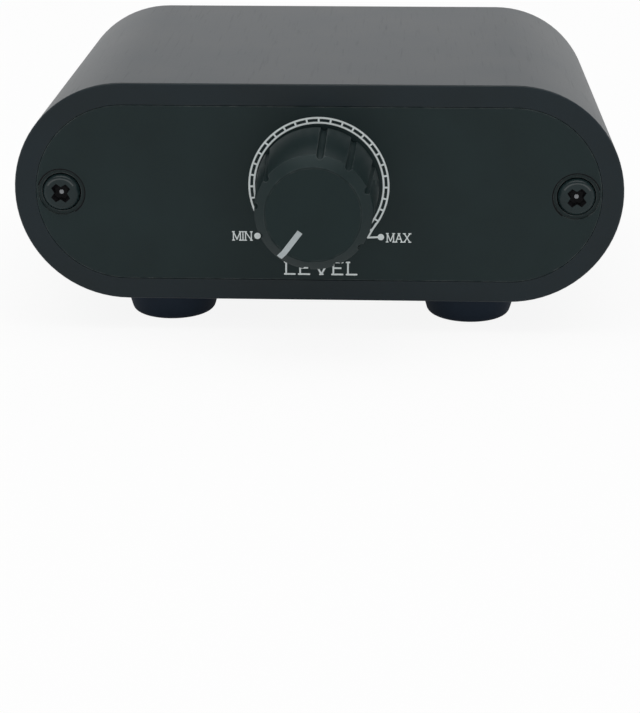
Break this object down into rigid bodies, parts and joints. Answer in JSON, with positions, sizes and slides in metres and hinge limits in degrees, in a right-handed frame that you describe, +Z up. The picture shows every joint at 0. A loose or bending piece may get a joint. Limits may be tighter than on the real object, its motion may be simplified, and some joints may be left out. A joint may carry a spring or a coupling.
{
  "type": "passive volume control box",
  "caption": "Small passive volume control in a round-ended black metal case on rubber feet, with a turning knob in front and phono sockets for line in and line out behind.",
  "frame": {"origin": "on the ground under the middle of the whole object, with the knob and the sockets counted in", "axes": "+X to the right seen from the front, +Y from the front to the rear, +Z up"},
  "size_m": [0.076, 0.0718, 0.032],
  "materials": {
    "case_black": "satin black anodised",
    "panel_black": "satin black anodised with pale print",
    "screw_black": "black oxide",
    "rubber": "matt moulded rubber",
    "knob_black": "fine matt moulded plastic",
    "pointer_white": "paint filled line",
    "steel": "plated steel",
    "moulding_black": "moulded plastic",
    "track_brown": "phenolic sheet",
    "wiper_white": "moulded plastic",
    "board_green": "solder mask",
    "gilt": "gold plated",
    "insert_red": "moulded plastic",
    "insert_white": "moulded plastic"
  },
  "bodies": {
    "case": {"case_shell": "case_black", "front_panel": "panel_black", "rear_panel": "panel_black", "front_screws": "screw_black", "rear_screws": "screw_black", "foot_front_left": "rubber", "foot_front_right": "rubber", "foot_rear_left": "rubber", "foot_rear_right": "rubber", "pot_bushing": "steel", "pot_washer": "steel", "pot_nut": "steel", "pot_housing_front": "moulding_black", "pot_housing_rear": "moulding_black", "pot_track_front": "track_brown", "pot_track_rear": "track_brown", "pot_frame": "steel", "pot_terminals": "steel", "main_board": "board_green", "in_right_housing": "moulding_black", "in_left_housing": "moulding_black", "out_right_housing": "moulding_black", "out_left_housing": "moulding_black", "in_right_shell": "gilt", "in_left_shell": "gilt", "out_right_shell": "gilt", "out_left_shell": "gilt", "in_right_insert": "insert_red", "in_left_insert": "insert_white", "out_right_insert": "insert_red", "out_left_insert": "insert_white", "in_right_contact": "gilt", "in_left_contact": "gilt", "out_right_contact": "gilt", "out_left_contact": "gilt"},
    "control": {"knob": "knob_black", "knob_pointer": "pointer_white", "pot_shaft": "steel", "pot_wiper_front": "wiper_white", "pot_wiper_rear": "wiper_white"}
  },
  "joints": [
    {"name": "volume_turn", "type": "hinge", "parent": "case", "child": "control", "pos_m": [0, -0.023, 0.0192], "axis": [0, 1, 0], "range_deg": [0, 287]}
  ]
}
